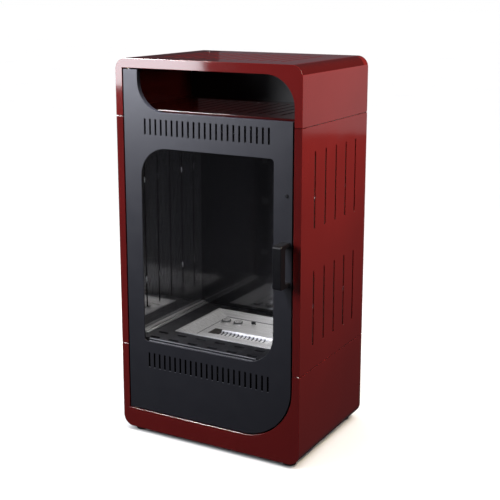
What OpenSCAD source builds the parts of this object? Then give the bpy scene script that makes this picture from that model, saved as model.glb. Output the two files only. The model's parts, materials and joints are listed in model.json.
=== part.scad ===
// Free-standing bioethanol stove: a sheet-steel cabinet in three tiers with a glazed door,
// a fire chamber with a lift-out burner, and an open warming niche at the top.
// Millimetres, +Z up, front towards -Y. The origin is on the floor, at the middle of the whole outline.

/* [Cabinet] */
// Width of the cabinet
cab_w = 450; // [400:5:560]
// Depth of the cabinet, from the front border to the rear panel
cab_d = 325; // [305:5:420]
// Height of the base tier
base_h = 198; // [180:1:220]
// Height of the middle tier
mid_h = 518; // [460:1:600]
// Height of the hood tier
hood_h = 124; // [112:1:150]
// Radius of the cabinet's long rounded edges
corner_r = 25; // [12:1:40]
// Thickness of the cabinet's sheet
sheet_t = 2; // [1.5:0.1:3]
// Joint between two tiers
seam_gap = 1; // [0.5:0.1:2]

/* [Front border] */
// Width of the border beside the door
border_w = 17.5; // [14:0.5:26]
// Height of the border above the niche
lintel_h = 20.5; // [14:0.5:30]
// Height of the border below the door
sill_h = 45; // [36:1:60]
// Radius of the niche's upper right corner
niche_r = 65; // [20:1:75]
// Depth of the lip that the border turns back into
lip_d = 20; // [14:1:22]

/* [Door] */
// Gap round the door
door_gap = 3; // [2.5:0.1:5]
// Depth of the door's folded edge
door_d = 12; // [11.7:0.1:14]
// Thickness of the door's sheet
door_t = 2; // [1.5:0.1:2.2]
// Width of the strip beside the niche
strip_w = 36; // [30:1:44]
// Radius between the strip and the door's top edge
fillet_r = 66; // [30:1:72]
// Radius of the door's lower right corner
door_r = 116; // [60:1:130]
// Height of the door above the window
head_rail = 76.5; // [66:0.5:100]
// Height of the door below the window
foot_rail = 165; // [145:1:185]
// Width of the door beside the window
stile_w = 42.5; // [38:0.5:52]
// Distance of the hinge axis from the door's edge
hinge_in = 12; // [10:0.5:15]
// Distance of the hinge axis behind the door's face
hinge_back = 7; // [6.6:0.1:7.4]
// Radius of the hinge pins
pin_r = 2.5; // [2:0.1:3]

/* [Window] */
// Radius of the window's upper left and lower right corners
win_r = 63; // [20:1:75]
// Radius of the window's other two corners
win_small_r = 8; // [3:1:15]
// Thickness of the glass
glass_t = 4; // [3:0.1:4.2]
// Overlap of the glass behind the door
glass_lap = 13; // [10:0.5:15]
// Thickness of the seal behind the window
seal_t = 1.5; // [1:0.1:1.7]

/* [Grilles] */
// Number of slots in each door grille
grille_n = 23; // [9:1:23]
// Width of a door slot
grille_w = 4; // [3:0.5:6]
// Height of a door slot
grille_h = 34; // [20:1:40]
// Distance between door slots
grille_pitch = 13.7; // [10:0.1:14]
// Distance of the upper grille below the door's top edge
grille_drop = 14.5; // [10:0.5:18]
// Distance of the lower grille below the window
grille_sink = 26.5; // [20:0.5:40]

/* [Side vents] */
// Number of slots in one row on a side panel
side_n = 5; // [3:1:5]
// Width of a side slot
side_slot_w = 5; // [3:0.5:8]
// Distance between side slots
side_pitch = 50.5; // [44:0.5:54]
// Distance of the slots from the seams
side_margin = 53; // [45:1:70]
// Height between the two rows of slots
side_row_gap = 90; // [60:1:120]

/* [Top and rear vents] */
// Number of slots in the top and in the niche's floor
top_n = 12; // [4:1:12]
// Width of those slots
top_slot_w = 5; // [3:0.5:8]
// Length of those slots
top_slot_l = 190; // [120:5:200]
// Distance between those slots
top_pitch = 26; // [18:0.5:28]
// Number of slots in one row of the rear panel
rear_n = 11; // [5:1:12]
// Height of a rear slot
rear_slot_h = 60; // [40:1:80]

/* [Handle] */
// Width of the handle
handle_w = 20; // [14:1:26]
// Height of the handle
handle_h = 92; // [80:1:130]
// Distance that the handle stands out from the door
handle_proud = 40; // [34:1:50]
// Thickness of the grip
grip_t = 20; // [12:1:22]
// Thickness of the handle's two legs
leg_t = 9; // [7:0.5:14]
// Height of the handle's middle above the cabinet's bottom
handle_rise = 437; // [400:1:470]

/* [Niche and fire chamber] */
// Distance of the niche's floor below the cabinet's top
shelf_drop = 109; // [104:1:109]
// Height of the niche's floor above the door's top edge
shelf_step = 3.5; // [2:0.5:8]
// Thickness of inner plates
plate_t = 2; // [1.5:0.1:3]
// Air space between a side panel and its liner
liner_gap = 26; // [20:1:32]
// Thickness of the liners
liner_t = 1.2; // [0.8:0.1:2]
// Space between the rear panel and the back liner
flue_d = 22; // [16:1:30]
// Height of the hearth above the window's lower edge
hearth_step = 4; // [0:0.5:8]
// Width of the rails beside the hearth
rail_w = 18; // [14:1:24]
// Height of those rails
rail_h = 5; // [4:0.5:8]

/* [Burner] */
// Width of the burner's opening
burner_w = 248; // [220:1:260]
// Depth of the burner's opening
burner_d = 180; // [165:1:190]
// Thickness of the burner's sheet
burner_t = 1.2; // [0.8:0.1:2]
// Depth of the deck below the hearth
deck_drop = 11; // [8:0.5:20]
// Length of the flame trough
trough_l = 156; // [154:1:164]
// Width of the flame trough
trough_w = 34; // [28:1:40]
// Depth of the flame trough
trough_depth = 7.5; // [6:0.5:14]
// Number of flame ports
port_n = 12; // [6:1:12]
// Width of a flame port
port_w = 4.2; // [2.5:0.1:4.4]
// Length of a flame port
port_l = 8; // [5:0.5:9]
// Distance between flame ports
port_pitch = 10; // [9:0.1:10]
// Height of the fuel tank
tank_h = 80; // [70:1:95]
// Radius of the two filling caps
cap_r = 11; // [9:0.5:13]

/* [Feet] */
// Height of the feet
foot_h = 10; // [8:0.5:20]
// Radius of the feet
foot_r = 15; // [11:0.5:20]
// Distance of a foot's middle from the cabinet's sides
foot_inset = 35; // [30:1:60]
// Distance of a foot's middle from the cabinet's front and back
foot_front = 26; // [24:1:60]

/* [Hidden] */
$fn = 72;

// Colours
RED = [0.36, 0.02, 0.04];
ANTHRACITE = [0.10, 0.10, 0.11];
STEEL = [0.72, 0.72, 0.70];
ZINC = [0.58, 0.59, 0.60];
RUBBER = [0.04, 0.04, 0.04];

// Small clearances
past = 1;
loose = 0.4;
run_gap = 0.3;
pin_play = 0.05;
press_play = 0.02;

// Rear panel and its screws
rear_t = 1.5;
rear_flange = 16;
rear_inset = 4;
rear_screw_in = 10;
screw_r = 1.7;
screw_head_r = 3.5;
screw_head_h = 1.8;
rear_slot_w = 6;
rear_pitch = 30;
rear_slot_in = 45;

// Outer faces of the cabinet
overall_d = handle_proud + cab_d + screw_head_h;
x_l = -cab_w / 2;
x_r = cab_w / 2;
y_f = handle_proud - overall_d / 2;
y_b = y_f + cab_d;
y_mid = (y_f + y_b) / 2;
z_b = foot_h;
z_low = z_b + base_h;
z_up = z_low + mid_h;
z_t = z_up + hood_h;
y_skin = y_b - rear_t;

// Door and window
swing_gap = 1.5;
door_l = x_l + border_w + door_gap;
door_rt = x_r - border_w - door_gap;
door_bot = z_b + sill_h + door_gap;
strip_top = z_t - lintel_h - door_gap;
shelf_z = z_t - shelf_drop;
door_top = shelf_z - shelf_step;
win_l = door_l + stile_w;
win_rt = door_rt - stile_w;
win_bot = door_bot + foot_rail;
win_top = door_top - head_rail;
hinge_x = door_l + hinge_in;
hinge_y = y_f + hinge_back;
swing_y = hinge_y + norm([hinge_in, door_d - hinge_back]) + swing_gap;

// Tie plates across the seams, each held by weld studs and nuts
tie_t = 2;
tie_h = 26;
tie_l = 30;
tie_gap = 6;
stud_r = 2;
nut_r = 3.8;
nut_h = 3;
stud_end = 1;
tie_y = [y_f + lip_d + tie_gap, y_skin - sheet_t - tie_gap - tie_l];

// Angles that carry the niche's floor and the hearth, between the tie plates
angle_t = 2;
angle_h = 20;
angle_w = 18;
angle_y0 = tie_y[0] + tie_l + tie_gap;
angle_y1 = tie_y[1] - tie_gap;
stud_clear = 2;
inner_gap = tie_t + nut_h + stud_end + stud_clear;
inner_l = x_l + sheet_t + inner_gap;
inner_rt = x_r - sheet_t - inner_gap;

// Niche, hearth and liners
shelf_lip = 14;
hearth_gap = 2;
liner_in = 38;
ceiling_step = 20;
niche_back_y = y_skin - flue_d - plate_t;
hearth_z = win_bot + hearth_step;
hearth_lip = 15;
hearth_y0 = swing_y + hearth_gap;
tongue_l = hinge_x + swing_y - hinge_y;
tongue_y = y_f + door_d + hearth_gap;
hearth_y1 = y_skin - sheet_t - tie_gap;
liner_l = x_l + sheet_t + liner_gap;
liner_rt = x_r - sheet_t - liner_gap;
liner_y0 = y_f + liner_in;
liner_y1 = y_skin - flue_d - liner_t;
ceiling_z = win_top + ceiling_step;
spacer_r = 6;
spacer_y = [y_mid - 1.5 * side_pitch, y_mid + 1.5 * side_pitch];
spacer_in = 110;
rail_step = 0.55;
rail_low = 0.4;
heat_slot_n = 8;
heat_slot_l = 120;
heat_slot_w = 8;
heat_pitch = 36;
hearth_slot_l = 27;
hearth_slot_w = 9;
hearth_pitch = 50;
hearth_slot_n = 7;
hearth_row = 20;
hearth_row_gap = 34.5;

// Burner
burner_back = 14;
burner_y = y_mid + burner_back;
burner_lip = 6;
burner_play = 1;
tray_rim = burner_t + burner_play + burner_lip;
funnel_side = 28;
funnel_end = 12;
deck_z = hearth_z - deck_drop;
deck_w = burner_w - 2 * funnel_side;
deck_d = burner_d - 2 * funnel_end;
trough_shift = 24;
trough_y = burner_y - trough_shift;
trough_end = 18;
trough_floor_w = 14;
floor_shift = 4.5;
port_y = trough_y + floor_shift;
trough_z = deck_z - trough_depth;
tank_in = 3;
tank_w = deck_w - 2 * tank_in;
tank_d = deck_d - 2 * tank_in;
tank_t = 1.5;
tank_top = deck_z - burner_t;
pad_h = 34;
cap_rim = 1.5;
neck_r = cap_r - cap_rim;
neck_t = 1.2;
neck_up = 3;
neck_down = 14;
cap_h = 3.5;
cap_plug = 10;
cap_hole_r = 1.6;
cap_hole_depth = 2;
cap_hole_x = cap_r * 0.42;
cap_in = 17;
cap_pitch = 32;
cap_back = 23;
cap_x = [cap_in - deck_w / 2, cap_in + cap_pitch - deck_w / 2];
cap_y = burner_y + deck_d / 2 - cap_r - cap_back;
strip_t = 1.5;
strip_edge = 2;
strip_d = port_l + 2 * strip_edge;
strip_over = 2;
strip_top_z = trough_z - burner_t - run_gap;
guide_x = (port_n - 1) * port_pitch / 2 + port_pitch;
guide_l = 8;
guide_t = 1.5;
knob_x = -17;
knob_r = 5;
knob_h = 4;
arm_w = 9;
stem_w = 4;
stem_back = 13;
stem_y = burner_y + deck_d / 2 - stem_back;
regulator_travel = port_pitch / 2;

// Hinges, catch and handle fixings
hinge_plate_t = 3;
hinge_plate_w = 40;
bush_wall = 1.5;
bush_rim = 2;
bush_r = pin_r + bush_wall;
bush_flange_r = bush_r + bush_rim;
bush_flange_t = 1;
bush_l = bush_flange_t + sheet_t + hinge_plate_t;
block_w = 22;
block_h = 24;
strike_in = 13;
strike_rise = 142;
strike_x = door_rt - strike_in;
strike_z = handle_rise + z_b + strike_rise;
strike_r = 8;
strike_t = 2;
strike_head_r = 3.5;
strike_head_h = 1.6;
magnet_w = 24;
magnet_h = 40;
magnet_t = 12;
magnet_gap = 0.4;
bracket_t = 2;
handle_in = 14;
handle_x = door_rt - handle_in;
handle_z = handle_rise + z_b;
handle_screw_r = 2;
handle_screw_l = 14;
handle_head_r = 4;
handle_head_h = 2.4;

// Glass fixings
glass_y = y_f + door_t + seal_t;
clip_t = 1.5;
clip_w = 16;
clip_over = 7;
clip_post_r = 3.5;
clip_post_gap = 1.5;
clip_tail = 1.5;
clip_at = [0.16, 0.48, 0.74];
glass_rail_t = 1.8;
glass_rail_show = 5;
glass_rail_ledge = 0.6;
glass_rail_drop = 9;
glass_rail_over = 18;

// Feet
foot_screw_r = 3;
foot_head_r = 5.5;
foot_head_h = 3;
foot_recess = 2;
foot_nut_r = 5.5;
foot_nut_h = 5;

// Box between two opposite corners
module box(low, high) {
    translate(low) cube(high - low);
}

// Extrudes an outline drawn in x and z backwards from y
module along_y(y, depth) {
    translate([0, y + depth, 0]) rotate([90, 0, 0]) linear_extrude(depth) children();
}

// Cylinder along Y that starts at a point and runs backwards
module pin_y(x, y, z, r, depth) {
    translate([x, y, z]) rotate([-90, 0, 0]) cylinder(r = r, h = depth);
}

// Cylinder along X that starts at a point and runs to the right
module pin_x(x, y, z, r, length) {
    translate([x, y, z]) rotate([0, 90, 0]) cylinder(r = r, h = length);
}

// What lies outside a rounded corner, with sx and sz pointing into the outline
module corner_waste(x, z, sx, sz, r) {
    if (r > 0)
        difference() {
            translate([sx > 0 ? x - past : x - r, sz > 0 ? z - past : z - r]) square(r + past);
            translate([x + sx * r, z + sz * r]) circle(r);
        }
}

// Rectangle with radii at its lower left, lower right, upper right and upper left corners
module outline(x0, z0, x1, z1, r) {
    difference() {
        translate([x0, z0]) square([x1 - x0, z1 - z0]);
        corner_waste(x0, z0, 1, 1, r[0]);
        corner_waste(x1, z0, -1, 1, r[1]);
        corner_waste(x1, z1, -1, -1, r[2]);
        corner_waste(x0, z1, 1, -1, r[3]);
    }
}

// Front view of the cabinet, drawn in by a distance
module cabinet_outline(in) {
    r = corner_r - in;
    outline(x_l + in, z_b + in, x_r - in, z_t - in, [r, r, r, r]);
}

// Opening in the front border, for the door and the niche together
module front_opening(grow) {
    outline(x_l + border_w - grow, z_b + sill_h - grow, x_r - border_w + grow, z_t - lintel_h + grow,
        [0, door_r + door_gap + grow, niche_r + grow, 0]);
}

// Whole cabinet skin: side, top and bottom sheets, front border with its lip, and rear flange
module skin() {
    difference() {
        along_y(y_f, cab_d - rear_t) cabinet_outline(0);
        along_y(y_f + sheet_t, cab_d - rear_t - 2 * sheet_t) cabinet_outline(sheet_t);
        along_y(y_f - past, sheet_t + 2 * past) front_opening(0);
        along_y(y_skin - sheet_t - past, sheet_t + 2 * past)
            outline(x_l + rear_flange, z_b + rear_flange, x_r - rear_flange, z_t - rear_flange, [0, 0, 0, 0]);
        rear_screw_holes(screw_r + press_play, y_skin - sheet_t - past);
    }
    along_y(y_f, lip_d) difference() {
        front_opening(sheet_t);
        front_opening(0);
    }
}

// One tier of the skin, between two heights
module tier(z0, z1) {
    intersection() {
        skin();
        box([x_l - past, y_f - past, z0], [x_r + past, y_b + past, z1]);
    }
}

// Row of cuts along X, centred on the cabinet
module row_x(n, pitch) {
    for (i = [0 : n - 1]) translate([(i - (n - 1) / 2) * pitch, 0, 0]) children();
}

// Row of cuts along Y, centred on the cabinet
module row_y(n, pitch) {
    for (i = [0 : n - 1]) translate([0, y_mid + (i - (n - 1) / 2) * pitch, 0]) children();
}

// Slots that run from front to back through a level sheet
module level_slots(n, pitch, w, l, z0, z1, y) {
    row_x(n, pitch) box([-w / 2, y - l / 2, z0 - past], [w / 2, y + l / 2, z1 + past]);
}

// Places of the rear screws
rear_screw_z = [z_b + base_h / 2, z_low + mid_h / 4, z_up - mid_h / 4, z_up + hood_h / 2];

// Holes for the rear screws, from y backwards
module rear_screw_holes(r, y) {
    for (x = [x_l + rear_screw_in, x_r - rear_screw_in], z = rear_screw_z)
        pin_y(x, y, z, r, y_b + past - y);
}

// Hole for a hinge bush through a lip, between two heights
module bush_hole(z0, z1) {
    translate([hinge_x, hinge_y, z0]) cylinder(r = bush_r + press_play, h = z1 - z0);
}

// Mirrors a left-hand piece to the right
module on_right() {
    mirror([1, 0, 0]) children();
}

// Repeats a left-hand piece on both sides
module both_sides() {
    children();
    on_right() children();
}

// Cabinet

module hood_shell() {
    color(RED) difference() {
        tier(z_up + seam_gap / 2, z_t + past);
        level_slots(top_n, top_pitch, top_slot_w, top_slot_l, z_t - sheet_t, z_t, y_mid);
        bush_hole(strip_top - past, strip_top + door_gap + sheet_t + past);
    }
}

side_slot_h = (mid_h - 2 * side_margin - side_row_gap) / 2;
side_slot_z = [z_low + side_margin, z_up - side_margin - side_slot_h];

// Left half of the middle tier
module side_panel() {
    difference() {
        intersection() {
            tier(z_low + seam_gap / 2, z_up - seam_gap / 2);
            box([x_l - past, y_f - past, z_low], [0, y_b + past, z_up]);
        }
        row_y(side_n, side_pitch) for (z = side_slot_z)
            box([x_l - past, -side_slot_w / 2, z], [x_l + sheet_t + past, side_slot_w / 2, z + side_slot_h]);
    }
}

module side_panel_left() {
    color(RED) side_panel();
}

module side_panel_right() {
    color(RED) on_right() side_panel();
}

module base_shell() {
    color(RED) difference() {
        tier(z_b - past, z_low - seam_gap / 2);
        bush_hole(door_bot - door_gap - sheet_t - past, door_bot);
        for (x = foot_x, y = foot_y)
            translate([x, y, z_b - past]) cylinder(r = foot_screw_r + loose, h = sheet_t + 2 * past);
    }
}

module rear_panel() {
    r = corner_r - rear_inset;
    color(ANTHRACITE) difference() {
        along_y(y_skin, rear_t)
            outline(x_l + rear_inset, z_b + rear_inset, x_r - rear_inset, z_t - rear_inset, [r, r, r, r]);
        rear_screw_holes(screw_r + press_play, y_skin - past);
        row_x(rear_n, rear_pitch) for (z = [z_b + rear_slot_in, z_t - rear_slot_in - rear_slot_h])
            box([-rear_slot_w / 2, y_skin - past, z], [rear_slot_w / 2, y_b + past, z + rear_slot_h]);
    }
}

module rear_screws() {
    color(ZINC) for (x = [x_l + rear_screw_in, x_r - rear_screw_in], z = rear_screw_z) {
        pin_y(x, y_skin - sheet_t - past, z, screw_r, sheet_t + rear_t + past);
        pin_y(x, y_b, z, screw_head_r, screw_head_h);
    }
}

// Places of the studs on a tie plate, above and below its seam
tie_stud_z = [-tie_h / 4, tie_h / 4];

// Tie plates on the left side, across both seams
module tie_plates_left() {
    for (y = tie_y, z = [z_low, z_up])
        difference() {
            box([x_l + sheet_t, y, z - tie_h / 2], [x_l + sheet_t + tie_t, y + tie_l, z + tie_h / 2]);
            for (dz = tie_stud_z)
                pin_x(x_l + sheet_t - past, y + tie_l / 2, z + dz, stud_r + press_play, tie_t + 2 * past);
        }
}

module tie_plates() {
    color(ZINC) both_sides() tie_plates_left();
}

// Weld studs on the left panels, with their nuts
module tie_nuts_left() {
    for (y = tie_y, z = [z_low, z_up], dz = tie_stud_z) {
        pin_x(x_l + sheet_t, y + tie_l / 2, z + dz, stud_r, tie_t + nut_h + stud_end);
        translate([x_l + sheet_t + tie_t, y + tie_l / 2, z + dz])
            rotate([0, 90, 0]) cylinder(r = nut_r, h = nut_h, $fn = 6);
    }
}

module tie_nuts() {
    color(ZINC) both_sides() tie_nuts_left();
}

// Angle on the left panel, with its level leg's top at z
module support_angle(z) {
    box([x_l + sheet_t, angle_y0, z - angle_h], [x_l + sheet_t + angle_t, angle_y1, z]);
    box([x_l + sheet_t, angle_y0, z - angle_t], [x_l + sheet_t + angle_w, angle_y1, z]);
}

module shelf_supports() {
    color(ZINC) both_sides() support_angle(shelf_z - plate_t);
}

module hearth_supports() {
    color(ZINC) both_sides() support_angle(hearth_z - plate_t);
}

module niche_floor() {
    y_slots = (swing_y + niche_back_y) / 2;
    color(RED) difference() {
        union() {
            box([inner_l, swing_y, shelf_z - plate_t], [inner_rt, niche_back_y, shelf_z]);
            box([inner_l, swing_y, shelf_z - shelf_lip], [inner_rt, swing_y + plate_t, shelf_z]);
        }
        level_slots(top_n, top_pitch, top_slot_w, top_slot_l, shelf_z - plate_t, shelf_z, y_slots);
    }
}

// Back of the niche, with a foot that closes the floor's rear edge
module niche_back() {
    in = sheet_t + loose;
    r = corner_r - in;
    color(ANTHRACITE) along_y(niche_back_y, plate_t) {
        outline(x_l + in, shelf_z, x_r - in, z_t - in, [0, 0, r, r]);
        translate([inner_l, shelf_z - plate_t]) square([inner_rt - inner_l, plate_t + past]);
    }
}

// Rounded slot through a level plate, along X
module oblong(x, y, l, w, z0, z1) {
    r = w / 2;
    translate([x, y, z0 - past]) linear_extrude(z1 - z0 + 2 * past) {
        square([l - w, w], center = true);
        for (s = [-1, 1]) translate([s * (l / 2 - r), 0]) circle(r);
    }
}

// Rows of slots in the hearth, two in front of the burner and one behind it
hearth_rows = [
    burner_y - burner_d / 2 - tray_rim - hearth_row - hearth_row_gap,
    burner_y - burner_d / 2 - tray_rim - hearth_row,
    burner_y + burner_d / 2 + tray_rim + hearth_row
];

// Hearth with a tongue that reaches the door between its hinge edge and the right border
module hearth_plate() {
    hole_w = burner_w + 2 * (burner_t + burner_play);
    hole_d = burner_d + 2 * (burner_t + burner_play);
    color(ANTHRACITE) difference() {
        union() {
            box([inner_l, hearth_y0, hearth_z - plate_t], [inner_rt, hearth_y1, hearth_z]);
            box([tongue_l, tongue_y, hearth_z - plate_t], [door_rt, hearth_y0 + past, hearth_z]);
            box([tongue_l, tongue_y, hearth_z - hearth_lip], [door_rt, tongue_y + plate_t, hearth_z]);
        }
        box([-hole_w / 2, burner_y - hole_d / 2, hearth_z - plate_t - past],
            [hole_w / 2, burner_y + hole_d / 2, hearth_z + past]);
        for (y = hearth_rows) row_x(hearth_slot_n, hearth_pitch)
            oblong(0, y, hearth_slot_l, hearth_slot_w, hearth_z - plate_t, hearth_z);
    }
}

// Stepped rail on the hearth, along the left liner
module hearth_rail() {
    x0 = liner_l + liner_t;
    color(STEEL) along_y(liner_y0, liner_y1 - liner_y0) polygon([
        [x0, hearth_z],
        [x0 + rail_w, hearth_z],
        [x0 + rail_w, hearth_z + rail_h * rail_low],
        [x0 + rail_w * rail_step, hearth_z + rail_h * rail_low],
        [x0 + rail_w * rail_step, hearth_z + rail_h],
        [x0, hearth_z + rail_h]
    ]);
}

module hearth_rail_left() {
    hearth_rail();
}

module hearth_rail_right() {
    on_right() hearth_rail();
}

// Left liner of the fire chamber, slotted at the same depths as the side panel
module liner_side() {
    slot_z0 = hearth_z + side_margin;
    slot_z1 = ceiling_z - side_margin;
    color(STEEL) difference() {
        box([liner_l, liner_y0, hearth_z], [liner_l + liner_t, liner_y1, ceiling_z]);
        row_y(side_n, side_pitch)
            box([liner_l - past, -side_slot_w / 2, slot_z0],
                [liner_l + liner_t + past, side_slot_w / 2, slot_z1]);
    }
}

module liner_left() {
    liner_side();
}

module liner_right() {
    on_right() liner_side();
}

module liner_back() {
    color(STEEL) box([liner_l, liner_y1, hearth_z], [liner_rt, liner_y1 + liner_t, ceiling_z]);
}

module liner_top() {
    y1 = liner_y1 + liner_t;
    color(STEEL) difference() {
        box([liner_l, liner_y0, ceiling_z], [liner_rt, y1, ceiling_z + liner_t]);
        level_slots(heat_slot_n, heat_pitch, heat_slot_w, heat_slot_l, ceiling_z, ceiling_z + liner_t,
            (liner_y0 + y1) / 2);
    }
}

// Spacers that hold the liners off the side panels and off the rear panel
module liner_spacers() {
    spacer_z = [hearth_z + spacer_in, ceiling_z - spacer_in];
    color(ZINC) {
        both_sides() for (y = spacer_y, z = spacer_z) pin_x(x_l + sheet_t, y, z, spacer_r, liner_gap);
        for (x = [liner_l + spacer_in, liner_rt - spacer_in], z = spacer_z)
            pin_y(x, liner_y1 + liner_t, z, spacer_r, y_skin - liner_y1 - liner_t);
    }
}

// Hinges of the cabinet

// Stiffening plate on a lip, pierced for its bush
module hinge_plate(z) {
    color(ZINC) difference() {
        box([hinge_x - hinge_in, y_f + sheet_t, z],
            [hinge_x - hinge_in + hinge_plate_w, y_f + lip_d, z + hinge_plate_t]);
        bush_hole(z - past, z + hinge_plate_t + past);
    }
}

module hinge_plate_upper() {
    hinge_plate(strip_top + door_gap + sheet_t);
}

module hinge_plate_lower() {
    hinge_plate(door_bot - door_gap - sheet_t - hinge_plate_t);
}

// Flanged bush with its flange's outer face at z = 0 and its sleeve upwards
module bush() {
    color("goldenrod") translate([hinge_x, hinge_y, 0]) difference() {
        union() {
            cylinder(r = bush_flange_r, h = bush_flange_t);
            cylinder(r = bush_r, h = bush_l);
        }
        translate([0, 0, -past]) cylinder(r = pin_r + pin_play, h = bush_l + 2 * past);
    }
}

module hinge_bush_upper() {
    translate([0, 0, strip_top + door_gap - bush_flange_t]) bush();
}

module hinge_bush_lower() {
    translate([0, 0, door_bot - door_gap + bush_flange_t]) mirror([0, 0, 1]) bush();
}

// Magnetic catch

module catch_bracket() {
    x0 = x_r - border_w + sheet_t;
    y0 = y_f + door_d + magnet_gap + magnet_t;
    z0 = strike_z - magnet_h / 2;
    z1 = strike_z + magnet_h / 2;
    color(ZINC) {
        box([x0, y_f + sheet_t, z0], [x0 + bracket_t, y0 + bracket_t, z1]);
        box([strike_x - magnet_w / 2, y0, z0], [x0 + bracket_t, y0 + bracket_t, z1]);
    }
}

module catch_magnet() {
    y0 = y_f + door_d + magnet_gap;
    color(RUBBER) box([strike_x - magnet_w / 2, y0, strike_z - magnet_h / 2],
        [door_rt - door_t, y0 + magnet_t, strike_z + magnet_h / 2]);
}

// Feet

foot_x = [x_l + foot_inset, x_r - foot_inset];
foot_y = [y_f + foot_front, y_b - foot_front];

module feet() {
    color(RUBBER) for (x = foot_x, y = foot_y) translate([x, y, 0]) difference() {
        cylinder(r = foot_r, h = foot_h);
        translate([0, 0, -past]) cylinder(r = foot_screw_r + loose, h = foot_h + 2 * past);
        translate([0, 0, -past]) cylinder(r = foot_head_r + loose, h = past + foot_recess + foot_head_h);
    }
}

module foot_screws() {
    color(ZINC) for (x = foot_x, y = foot_y) translate([x, y, foot_recess]) {
        cylinder(r = foot_head_r, h = foot_head_h);
        cylinder(r = foot_screw_r, h = foot_h - foot_recess + sheet_t + foot_nut_h + stud_end);
    }
}

module foot_nuts() {
    color(ZINC) for (x = foot_x, y = foot_y) translate([x, y, z_b + sheet_t]) difference() {
        cylinder(r = foot_nut_r, h = foot_nut_h, $fn = 6);
        translate([0, 0, -past]) cylinder(r = foot_screw_r + press_play, h = foot_nut_h + 2 * past);
    }
}

// Door

// Front view of the door, drawn in by a distance
module door_outline(in) {
    x_strip = door_l + strip_w - in;
    z_top = door_top - in;
    x_arc = door_l + strip_w + fillet_r;
    z_arc = door_top + fillet_r;
    outline(door_l + in, door_bot + in, door_rt - in, z_top, [0, door_r - in, 0, 0]);
    translate([door_l + in, door_bot + in]) square([strip_w - 2 * in, strip_top - door_bot - 2 * in]);
    difference() {
        translate([x_strip - past, z_top - past]) square([x_arc - x_strip + past, z_arc - z_top + past]);
        translate([x_arc, z_arc]) circle(fillet_r + in);
    }
}

// Front view of the window, grown by a distance
module window_outline(grow) {
    outline(win_l - grow, win_bot - grow, win_rt + grow, win_top + grow,
        [win_small_r + grow, win_r + grow, win_small_r + grow, win_r + grow]);
}

// Cuts for one door grille, with the slots' tops at z
module grille(z) {
    row_x(grille_n, grille_pitch)
        box([-grille_w / 2, y_f - past, z - grille_h], [grille_w / 2, y_f + door_t + past, z]);
}

// Hole through the door's folded edge for a hinge pin, up from z
module pin_hole(z) {
    translate([hinge_x, hinge_y, z - past]) cylinder(r = pin_r + press_play, h = door_t + 2 * past);
}

handle_screw_z = [handle_z - handle_h / 2 + leg_t / 2, handle_z + handle_h / 2 - leg_t / 2];

module door_panel() {
    color(ANTHRACITE) difference() {
        along_y(y_f, door_d) door_outline(0);
        along_y(y_f + door_t, door_d) door_outline(door_t);
        along_y(y_f - past, door_t + 2 * past) window_outline(0);
        grille(door_top - grille_drop);
        grille(win_bot - grille_sink);
        pin_hole(strip_top - door_t);
        pin_hole(door_bot);
        pin_y(strike_x, y_f - past, strike_z, stud_r + press_play, door_t + 2 * past);
        for (z = handle_screw_z)
            pin_y(handle_x, y_f - past, z, handle_screw_r + press_play, door_t + 2 * past);
    }
}

module door_glass() {
    color([0.75, 0.82, 0.82, 0.35]) along_y(glass_y, glass_t) window_outline(glass_lap);
}

module glass_seal() {
    color(RUBBER) along_y(y_f + door_t, seal_t) difference() {
        window_outline(glass_lap);
        window_outline(1);
    }
}

// Rail under the glass, with two steps that show above the window's lower edge
module glass_rail() {
    x0 = win_l + win_small_r;
    x1 = win_rt - win_r + glass_rail_over;
    y0 = glass_y + glass_t;
    y1 = y0 + glass_rail_t;
    z0 = win_bot - glass_lap;
    color(STEEL) {
        box([x0, y1, win_bot - glass_rail_drop], [x1, y1 + glass_rail_t, win_bot + glass_rail_show]);
        box([x0, y0, z0 - glass_rail_t], [x1, y1, win_bot + glass_rail_ledge]);
        box([x0, y_f + door_t, z0 - glass_rail_t], [x1, y1, z0]);
    }
}

// Places of the clips: height, side and the distance of a post from the window
clip_z = [for (k = clip_at) win_bot + k * (win_top - win_bot)];
clip_post = glass_lap + clip_post_gap + clip_post_r;

// Calls its children at each clip, drawn for the left stile with the window's edge at x = 0
module at_clips() {
    for (z = clip_z) {
        translate([win_l, 0, z]) children();
        translate([win_rt, 0, z]) mirror([1, 0, 0]) children();
    }
}

module glass_clips() {
    y0 = glass_y + glass_t;
    x0 = -clip_post - clip_post_r - clip_tail;
    color(ZINC) at_clips() difference() {
        union() {
            box([x0, y0, -clip_w / 2], [clip_over - glass_lap, y0 + clip_t, clip_w / 2]);
            pin_y(-clip_post, y_f + door_t, 0, clip_post_r, y0 - y_f - door_t);
        }
        pin_y(-clip_post, y_f + door_t, 0, screw_r + press_play, y0 - y_f);
    }
}

module clip_screws() {
    y0 = glass_y + glass_t + clip_t;
    color(ZINC) at_clips() {
        pin_y(-clip_post, y_f + door_t, 0, screw_r, y0 - y_f - door_t);
        pin_y(-clip_post, y0, 0, screw_head_r, screw_head_h);
    }
}

// Bow handle: a grip on two legs, with a gap for the fingers behind it
module door_handle() {
    gap_h = handle_h - 2 * leg_t;
    edge_r = 6;
    color(ANTHRACITE) difference() {
        translate([handle_x - handle_w / 2, 0, 0]) rotate([90, 0, 90]) linear_extrude(handle_w) difference() {
            outline(y_f - handle_proud, handle_z - handle_h / 2, y_f, handle_z + handle_h / 2,
                [edge_r, 0, 0, edge_r]);
            outline(y_f - handle_proud + grip_t, handle_z - gap_h / 2, y_f + past, handle_z + gap_h / 2,
                [edge_r, 0, 0, edge_r]);
        }
        for (z = handle_screw_z)
            pin_y(handle_x, y_f - handle_screw_l, z, handle_screw_r + press_play, handle_screw_l + past);
    }
}

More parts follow.
